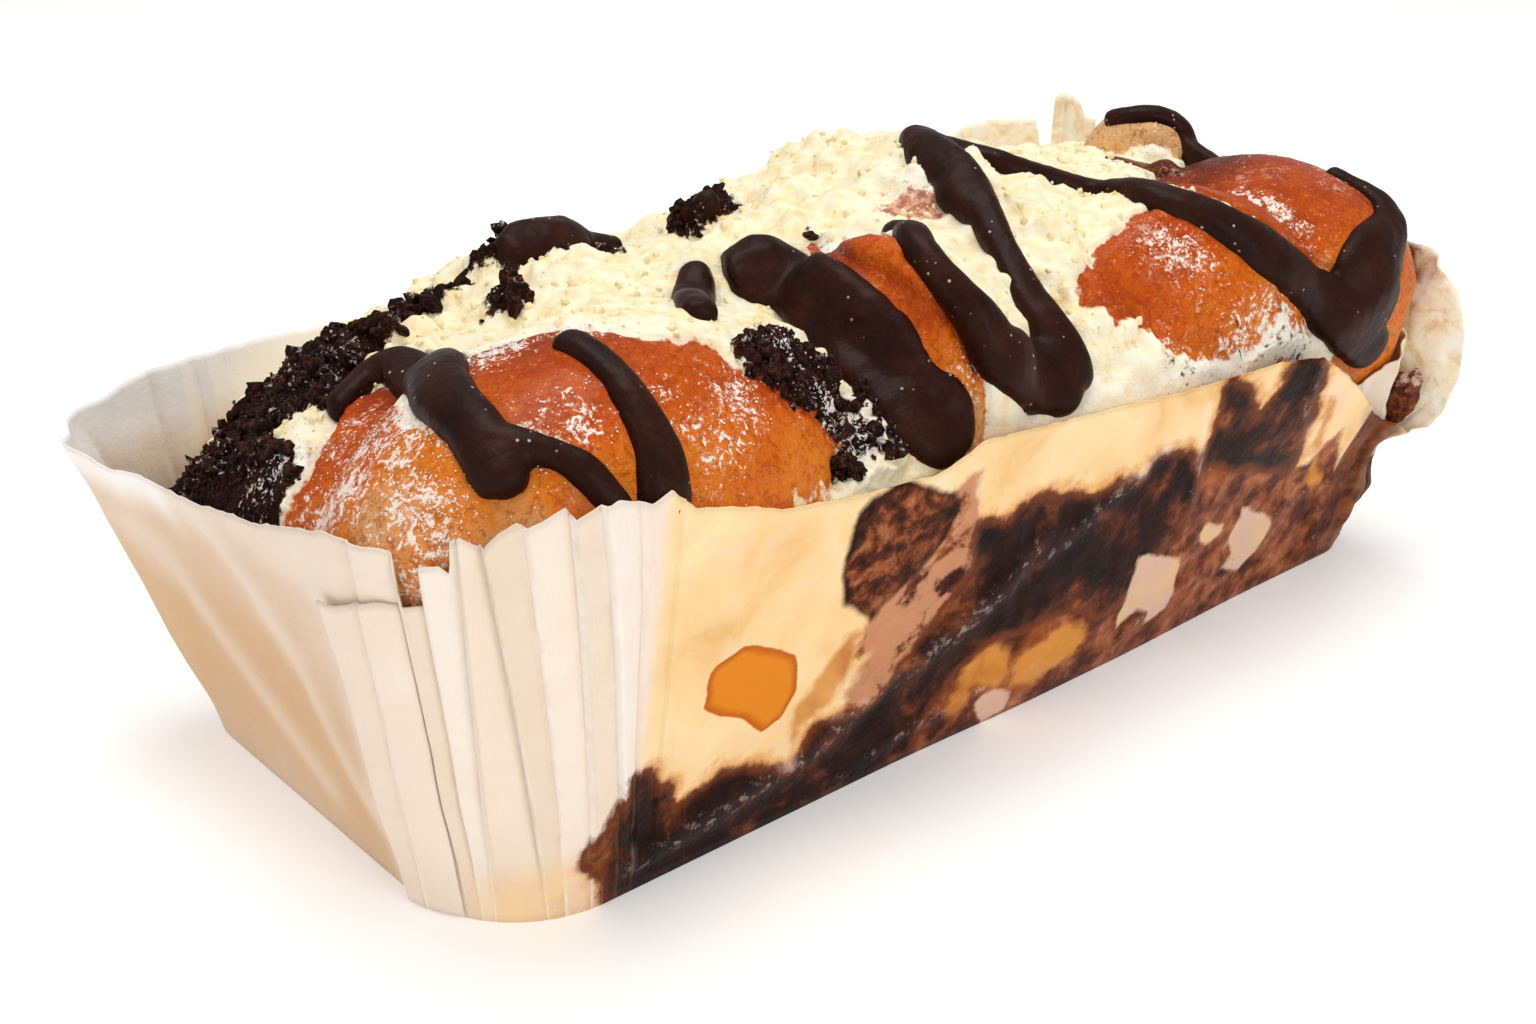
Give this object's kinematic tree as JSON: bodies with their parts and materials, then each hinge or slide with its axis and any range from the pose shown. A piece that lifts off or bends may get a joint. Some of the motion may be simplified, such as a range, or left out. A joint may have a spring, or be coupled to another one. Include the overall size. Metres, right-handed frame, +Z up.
{
  "type": "chocolate babka loaf",
  "caption": "Twisted yeast loaf with torn vanilla and cocoa crumb, thick bands of chocolate icing and powdered sugar, baked in a pleated greaseproof paper case.",
  "frame": {"origin": "middle of the outline in plan, on the surface that the case stands on", "axes": "+X along the loaf towards the end whose case corner is folded out, -Y towards the long front side, +Z up"},
  "size_m": [0.2088, 0.1088, 0.0808],
  "materials": {
    "paper": "greaseproof baking paper, pale and satin, see-through where the fat of the loaf has soaked in",
    "baked_dough": "egg-washed golden brown crust, torn cream and cocoa crumb, powdered sugar",
    "chocolate": "dark chocolate icing set to a satin sheen"
  },
  "bodies": {
    "root": {"paper_case": "paper", "loaf": "baked_dough", "chocolate_crumb": "chocolate"}
  },
  "joints": []
}
